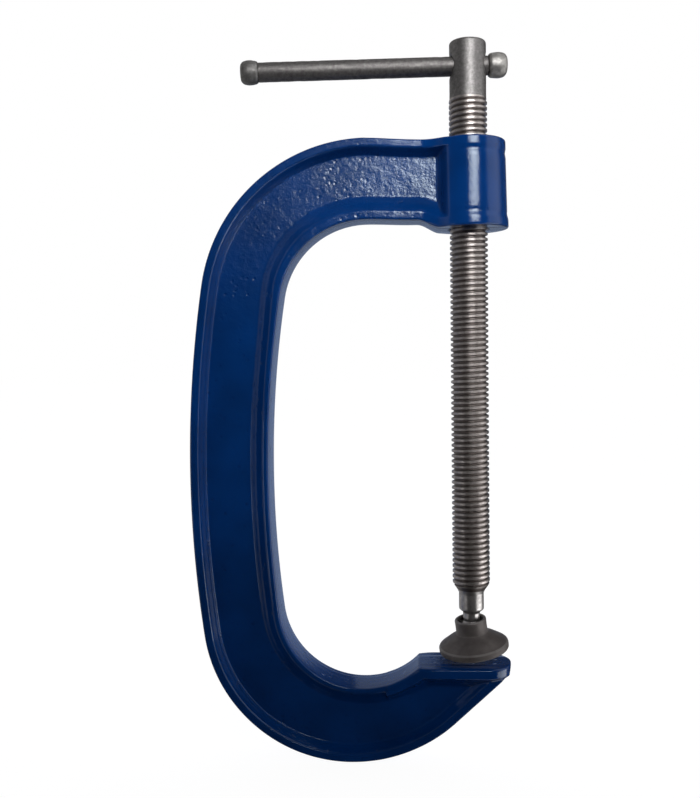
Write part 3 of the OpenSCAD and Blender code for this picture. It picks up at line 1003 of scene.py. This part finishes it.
def make_floor():
    """A plain pale floor under the clamp, seen by the camera but not reflected in the clamp."""
    low, _ = CAD_BOX
    mesh = bpy.data.meshes.new("floor")
    corners = [(x * FLOOR_HALF, y * FLOOR_HALF, low[2]) for x, y in ((-1, -1), (1, -1), (1, 1), (-1, 1))]
    mesh.from_pydata(corners, [], [(0, 1, 2, 3)])
    floor = bpy.data.objects.new("floor", mesh)
    bpy.context.scene.collection.objects.link(floor)
    material, _, shader = new_material("floor_white")
    shader.inputs["Base Color"].default_value = (0.16, 0.16, 0.165, 1)
    shader.inputs["Roughness"].default_value = 0.9
    shader.inputs["Specular IOR Level"].default_value = 0.0
    shader.inputs["Emission Color"].default_value = (1, 1, 1, 1)
    shader.inputs["Emission Strength"].default_value = 0.95
    mesh.materials.append(material)
    floor.visible_glossy = False
    floor.visible_diffuse = False
    floor.visible_transmission = False


def make_camera():
    """The photograph's viewpoint: a little above and to the right of the clamp's middle."""
    turn, dip, roll = [math.radians(a) for a in (CAMERA_TURN, CAMERA_DIP, CAMERA_ROLL)]
    right = Vector((math.cos(turn), math.sin(turn), 0))
    ahead = Vector((-math.sin(turn) * math.cos(dip), math.cos(turn) * math.cos(dip), -math.sin(dip)))
    up = right.cross(ahead)
    right, up = math.cos(roll) * right + math.sin(roll) * up, math.cos(roll) * up - math.sin(roll) * right
    camera = bpy.data.objects.new("camera", bpy.data.cameras.new("camera"))
    camera.data.sensor_fit = "HORIZONTAL"
    camera.data.sensor_width = SENSOR_WIDTH
    camera.data.lens = SENSOR_WIDTH * FOCAL_WIDTHS
    camera.data.clip_start = 0.02
    turned = Matrix((right, up, -ahead)).transposed().to_4x4()
    camera.matrix_world = Matrix.Translation(CAMERA_AT) @ turned
    bpy.context.scene.collection.objects.link(camera)
    bpy.context.scene.camera = camera


def make_softbox(name, position, target, width, height, radiance, gloss_only=False, beam=180):
    """A rectangular soft light at a position, facing a target; metres, and degrees for its beam."""
    position, target = Vector(position), Vector(target)
    data = bpy.data.lights.new(name, "AREA")
    data.shape = "RECTANGLE"
    data.size, data.size_y = width, height
    data.energy = radiance * math.pi * width * height
    data.spread = math.radians(beam)
    light = bpy.data.objects.new(name, data)
    facing = (position - target).to_track_quat("Z", "Y").to_matrix().to_4x4()
    light.matrix_world = Matrix.Translation(position) @ facing
    light.visible_camera = False
    light.visible_diffuse = not gloss_only
    bpy.context.scene.collection.objects.link(light)


def mirrored_room(tree, at):
    """How bright the room is where the clamp mirrors it: a pale band on each side, and the table."""
    ahead = arithmetic(tree, "MULTIPLY", at["Y"], -1.0)
    azimuth = arithmetic(tree, "ARCTAN2", at["X"], ahead)
    right = product(tree, spread(tree, azimuth, 0.90, 1.05, 0.02, 1.05),
                    spread(tree, at["Y"], 0.05, 0.40, 1.0, 0.03))
    left = spread(tree, azimuth, -0.95, -1.35, 0.02, 0.35)
    table = product(tree, spread(tree, at["Y"], 0.80, 0.95, 0.0, 0.46),
                    spread(tree, at["Z"], 0.08, 0.28, 1.0, 0.14))
    return largest(tree, right, left, table)


def lighting_room(tree, at):
    """How bright the room is as a light on the clamp: mostly the white table behind it."""
    table = product(tree, spread(tree, at["Y"], 0.0, 0.45, 0.03, 3.2),
                    spread(tree, at["Z"], -0.3, 0.5, 1.0, 0.15))
    right = spread(tree, at["X"], 0.6, 0.95, 0.02, 1.2)
    left = spread(tree, at["X"], -0.6, -0.95, 0.02, 0.6)
    return largest(tree, right, left, table)


def make_world():
    """White to the camera; a dim room with a bright table to the clamp, bluish where it is mirrored."""
    world = bpy.data.worlds.new("studio")
    bpy.context.scene.world = world
    world.use_nodes = True
    tree = world.node_tree
    direction = add(tree, "ShaderNodeTexCoord").outputs["Generated"]
    at = add(tree, "ShaderNodeSeparateXYZ", Vector=direction).outputs
    path = add(tree, "ShaderNodeLightPath").outputs
    strength = lighting_room(tree, at)
    for kind, value in (("Is Glossy Ray", mirrored_room(tree, at)), ("Is Camera Ray", 1.0)):
        chosen = tree.nodes.new("ShaderNodeMix")
        for index, source in ((0, path[kind]), (2, strength), (3, value)):
            set_input(tree, chosen.inputs[index], source)
        strength = chosen.outputs[0]
    on_table = product(tree, spread(tree, at["Y"], 0.80, 0.95), path["Is Glossy Ray"])
    tint = blend_colour(tree, on_table, (1.0, 1.0, 1.0), (0.56, 0.70, 1.0))
    background = tree.nodes["Background"]
    tree.links.new(strength, background.inputs["Strength"])
    tree.links.new(tint, background.inputs["Color"])


def make_light():
    """The world, a key softbox high in front, and two low ones that only show as reflections."""
    make_world()
    make_softbox("key", (0.105, -0.45, 0.44), UNDER_ARM, 0.27, 0.30, 0.90, beam=43)
    make_softbox("low_right", (0.50, -0.12, -0.13), ON_FOOT, 0.50, 0.16, 2.6, gloss_only=True)
    make_softbox("low_left", (-0.52, -0.38, -0.02), ON_FOOT, 0.09, 0.26, 2.4, gloss_only=True)
    bpy.context.scene.view_settings.view_transform = "Standard"
    bpy.context.scene.view_settings.look = "None"


make_camera()
make_floor()
make_light()
make_frame(enamel())
make_screw([
    steel("head_steel", (0.34, 0.33, 0.325), (0.19, 0.182, 0.18), 0.50, lump=1.5, grain_depth=0.05),
    steel("thread_steel", (0.66, 0.615, 0.595), (0.42, 0.385, 0.37), 0.40, lump=1.6, groove=(8.2, 9.2)),
    turned_steel()])
# the pad's three steels are one finish: the rim and collar copy is painted light, the edge copy a painted
# highlight
make_pad([phosphated_steel("pad_steel", (0.100, 0.087, 0.084), (0.150, 0.133, 0.128)),
          phosphated_steel("pad_rim_lit_steel", (0.130, 0.115, 0.111), (0.185, 0.166, 0.160)),
          phosphated_steel("pad_edge_highlight_steel", (0.18, 0.167, 0.162), (0.26, 0.243, 0.237))])
make_ring(steel("ring_steel", (0.42, 0.42, 0.41), (0.30, 0.30, 0.29), 0.32))
make_bar(steel("bar_steel", (0.26, 0.25, 0.245), (0.15, 0.142, 0.14), 0.55, lump=1.8, grain_depth=0.05))
make_knob("knob_near", "near_knob", radius=6.25, length=9.5, shoulder=NEAR_SHOULDER, sign=1, seed=4.0,
          material=steel("knob_steel", (0.56, 0.55, 0.53), (0.34, 0.33, 0.315), 0.52, 1.8, 0.05))
# painted shade: the far knob's steel is a darker copy of the near knob's
make_knob("knob_far", "far_knob", radius=5.95, length=9.1, shoulder=FAR_SHOULDER, sign=-1, seed=6.0,
          material=steel("far_knob_shaded_steel", (0.33, 0.325, 0.32), (0.20, 0.195, 0.19), 0.55, 1.8, 0.05))
